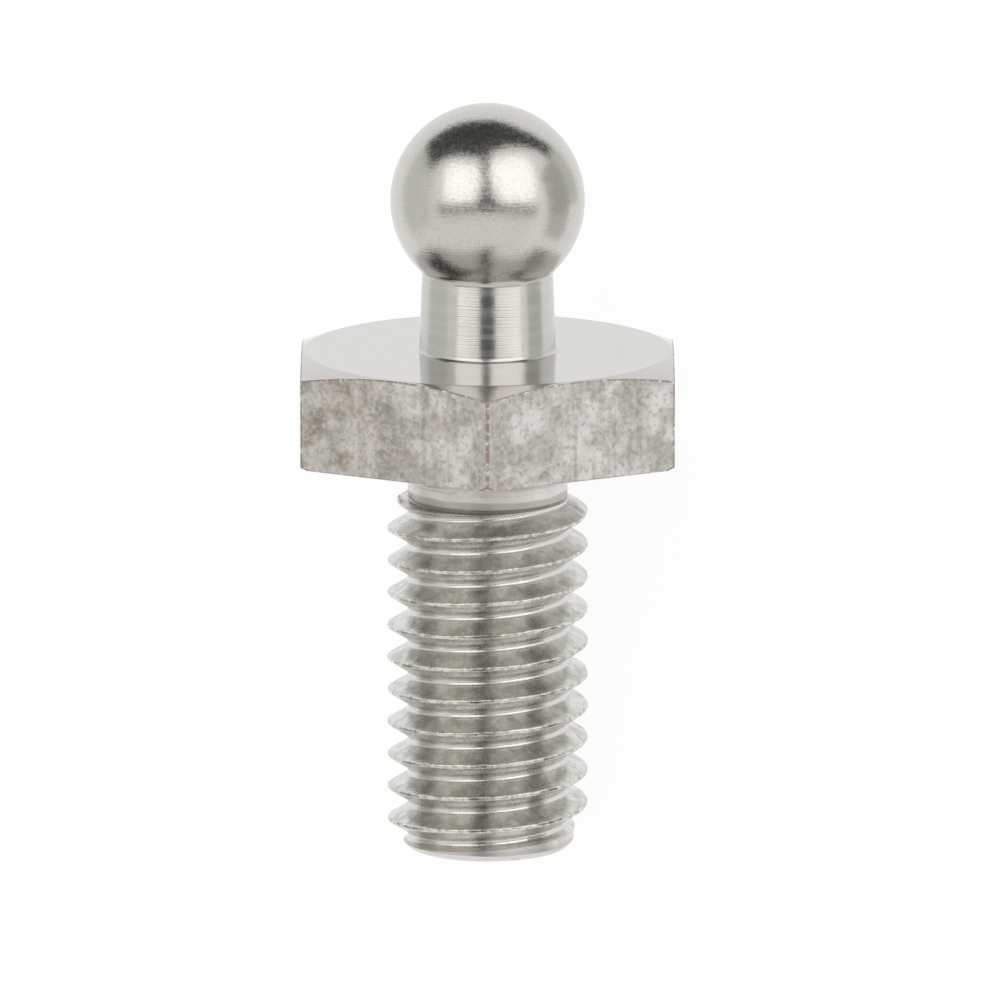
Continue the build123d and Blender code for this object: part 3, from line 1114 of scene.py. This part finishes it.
def span(degrees, distance):
    return 2 * distance * math.tan(math.radians(degrees / 2))


print("ball at", [round(value / MM, 3) for value in ball_place], "mm")


# %% [markdown]
# ### Softboxes
#
# A softbox is a lamp behind white cloth. An area lamp does the same, and polished steel shows it as a
# bright rectangle. Its size is given as the angle that it fills, because an angle can be read off a ball.

# %% Softboxes
def softbox(name, azimuth, elevation, wide, high, radiance):
    """An area lamp that fills wide by high degrees of what the ball sees."""
    data = bpy.data.lights.new(name, "AREA")
    data.shape = "RECTANGLE"
    data.size = span(wide, LAMP_DISTANCE)
    data.size_y = span(high, LAMP_DISTANCE)
    data.energy = radiance * math.pi * data.size * data.size_y
    lamp = bpy.data.objects.new(name, data)
    bpy.context.scene.collection.objects.link(lamp)
    lamp.matrix_world = facing_the_ball(azimuth, elevation, LAMP_DISTANCE)
    lamp.visible_camera = False
    print(name, "radiance", radiance)


SOFTBOX_RADIANCE = 0.74
softbox("left_softbox", -32, 19, 43, 46, SOFTBOX_RADIANCE)
softbox("right_softbox", 34, 23, 52, 54, SOFTBOX_RADIANCE)

# %% [markdown]
# ### White paper
#
# The stud lies on white paper, which has to look white without more light on the stud. So most of the
# paper's brightness is a glow that only the camera and mirrored rays see. The rest is plain lit paper,
# and it keeps the soft shadow.

# %% White paper under the stud
FLOOR_SIZE = 2.0
PAPER_GLOW = 0.92
GLOW_STRENGTH = 1.02
PAPER_COLOUR = (0.86, 0.855, 0.85, 1)
PAPER_ROUGHNESS = 0.9

bpy.ops.object.select_all(action="DESELECT")
bpy.ops.mesh.primitive_plane_add(size=FLOOR_SIZE, location=(0, 0, 0))
floor = bpy.context.active_object
floor.name = "white_paper_floor"
paper = bpy.data.materials.new("white_paper")
paper.use_nodes = True
tree = paper.node_tree
lit = tree.nodes["Principled BSDF"]
lit.inputs["Base Color"].default_value = PAPER_COLOUR
lit.inputs["Roughness"].default_value = PAPER_ROUGHNESS
glow = add(tree, "Emission", {"Color": (1, 1, 1, 1), "Strength": GLOW_STRENGTH})
path = add(tree, "LightPath")
seen = calculate(tree, "MAXIMUM", path.outputs["Is Camera Ray"], path.outputs["Is Glossy Ray"])
mix = add(tree, "MixShader")
fill(tree, mix.inputs["Fac"], calculate(tree, "MULTIPLY", seen, PAPER_GLOW))
fill(tree, mix.inputs[1], lit.outputs[0])
fill(tree, mix.inputs[2], glow.outputs[0])
fill(tree, tree.nodes["Material Output"].inputs["Surface"], mix.outputs[0])
floor.data.materials.append(paper)
print("paper", FLOOR_SIZE, "m wide")

# %% [markdown]
# ### Pale room
#
# What is left of the surroundings is a pale, slightly warm room. It lights the stud gently, and is a
# little brighter where the steel mirrors it, as white walls beside the lamps would be.

# %% Pale room
ROOM_LIGHT = 0.72
ROOM_REFLECTION = 0.92
ROOM_COLOUR = (1.0, 0.985, 0.965, 1)

world = bpy.data.worlds.new("pale_room")
bpy.context.scene.world = world
world.use_nodes = True
tree = world.node_tree
room = tree.nodes["Background"]
room.inputs["Color"].default_value = ROOM_COLOUR
path = add(tree, "LightPath")
mirrored = calculate(tree, "MAXIMUM", path.outputs["Is Camera Ray"], path.outputs["Is Glossy Ray"])
fill(tree, room.inputs["Strength"], between(tree, mirrored, 0.0, 1.0, ROOM_LIGHT, ROOM_REFLECTION, False))
print("room", ROOM_LIGHT, "as light,", ROOM_REFLECTION, "as reflection")

# %% [markdown]
# ### Cards
#
# Photographers shape reflections with cards of dark or grey cloth. Here each card is one flat face that
# glows with an even tone, which only reflections see. It throws no shadow and takes no light away. Flags
# are cards far away: some make the dark gap between the softboxes, and some the darker zone under them.

# %% Cards of dark and grey cloth, each an even glow
CLOTH_GREEN, CLOTH_BLUE = 1.02, 0.96


def cloth(name, tone):
    """A card's cloth, which glows with one plain tone whatever light falls on it."""
    material = bpy.data.materials.new(name)
    material.use_nodes = True
    tree = material.node_tree
    tree.nodes.remove(tree.nodes["Principled BSDF"])
    colour = (tone, tone * CLOTH_GREEN, tone * CLOTH_BLUE, 1)
    even = add(tree, "Emission", {"Color": colour, "Strength": 1.0})
    fill(tree, tree.nodes["Material Output"].inputs["Surface"], even.outputs[0])
    return material


def card(name, outline, tone):
    """A card with these corners, seen only in reflections."""
    bpy.ops.object.select_all(action="DESELECT")
    bpy.ops.mesh.primitive_circle_add(vertices=len(outline), radius=1, fill_type="NGON")
    piece = bpy.context.active_object
    piece.name = name
    for vertex, corner in zip(piece.data.vertices, outline):
        vertex.co = corner
    piece.data.materials.append(cloth(name + "_cloth", tone))
    piece.visible_camera = False
    piece.visible_diffuse = False
    piece.visible_shadow = False
    print(name, "tone", tone)


def flag(name, azimuth, elevation, wide, high, tone):
    """A rectangular card that fills wide by high degrees of what the ball sees."""
    place = facing_the_ball(azimuth, elevation, FLAG_DISTANCE)
    x, y = span(wide, FLAG_DISTANCE) / 2, span(high, FLAG_DISTANCE) / 2
    corners = [(-x, -y), (x, -y), (x, y), (-x, y)]
    card(name, [place @ Vector((*corner, 0)) for corner in corners], tone)


FLAGS = {
    "gap_flag_above": (-3.5, 48, 10, 40, 0.06),
    "gap_flag_between": (-2, 25, 5, 8, 0.20),
    "gap_flag_below": (-2, 4, 12, 34, 0.13),
    "low_flag": (0, -6, 26, 17, 0.05),
    "low_flag_left": (-38, -11, 48, 12, 0.26),
    "low_flag_right": (38, -11, 48, 12, 0.26),
    "side_flag_left": (-98, 8, 50, 60, 0.74),
}
for name, (azimuth, elevation, wide, high, tone) in FLAGS.items():
    flag(name, azimuth, elevation, wide, high, tone)

# %% [markdown]
# ### Ceiling and near cards
#
# The dark arc over the highlights and the dark patches low on the ball come from a dark ceiling, one
# large card over the ball and a small one to its left. The patches are the ceiling seen by way of the
# mirror-bright hexagon. The large card's outline was found by following reflections back from where dark
# turns to bright on the ball. Upright cards beside the ball and around the thread give the grey bands on
# their sides.

# %% Ceiling and near cards
CEILING_TONE = 0.06
LEFT_CEILING_DISTANCE = 0.028
LEFT_CEILING_CORNERS = [(-76, 28), (-60, 60), (-100, 72), (-121, 62), (-121, 40)]
CEILING_ABOVE_BALL_CENTRE = 5.0
CEILING_BACK = [
    (-5.5, 2.2), (-3.6, 1.8), (-1.9, 1.2), (-0.5, 0.8), (0.8, 0.7), (2.3, 0.6), (3.9, 1.2), (6.5, 3.0),
    (7.4, 2.7),
]
CEILING_FRONT = [
    (8.6, 1.2), (6.7, 0.1), (4.6, -0.7), (3.2, -1.4), (1.8, -2.1), (0.5, -2.9), (-0.1, -3.5), (-0.8, -3.7),
    (-1.8, -3.4), (-3.0, -2.8), (-4.2, -2.4), (-5.5, -2.1), (-7.6, -2.3),
]


def near_card(name, corners, tone):
    """A card with its corners on the bench: millimetres to the right, away from the camera, and up."""
    card(name, [laying_down @ Vector(corner) for corner in corners], tone)


def upright_card(name, start, end, low, high, tone):
    """An upright near card over a straight line on the bench."""
    near_card(name, [(*start, low), (*end, low), (*end, high), (*start, high)], tone)


left_ceiling = [ball_place + towards(*corner) * LEFT_CEILING_DISTANCE for corner in LEFT_CEILING_CORNERS]
card("dark_ceiling_left", left_ceiling, CEILING_TONE)
ceiling_level = BALL_CENTRE + CEILING_ABOVE_BALL_CENTRE
near_card("dark_ceiling", [(x, y, ceiling_level) for x, y in CEILING_BACK + CEILING_FRONT], CEILING_TONE)

UPRIGHT_CARDS = {
    "side_card_right": ((6.4, -3.0), (6.0, 0.4), 14.9, 19.8, 0.50),
    "side_card_far_right": ((6.0, 0.4), (5.6, 2.7), 15.3, 20.2, 0.68),
    "side_card_low_right": ((6.4, -3.0), (6.0, 0.4), 12.3, 14.9, 0.62),
    "thread_gap_card": ((-2.3, -9.8), (-0.1, -9.8), -8.0, 5.4, 0.12),
    "thread_gap_edge_card": ((-3.8, -10.0), (1.3, -10.0), -8.0, 5.4, 0.45),
    "thread_card_left": ((-12.0, -2.6), (-12.0, 4.6), -8.0, 5.5, 0.40),
    "thread_card_right": ((5.9, -4.6), (5.3, -1.5), -1.5, 5.5, 0.32),
}
for name, (start, end, low, high, tone) in UPRIGHT_CARDS.items():
    upright_card(name, start, end, low, high, tone)

# %% [markdown]
# ## Colours
#
# The Standard view shows each colour as it was written.

# %% Finish
bpy.context.scene.view_settings.view_transform = "Standard"
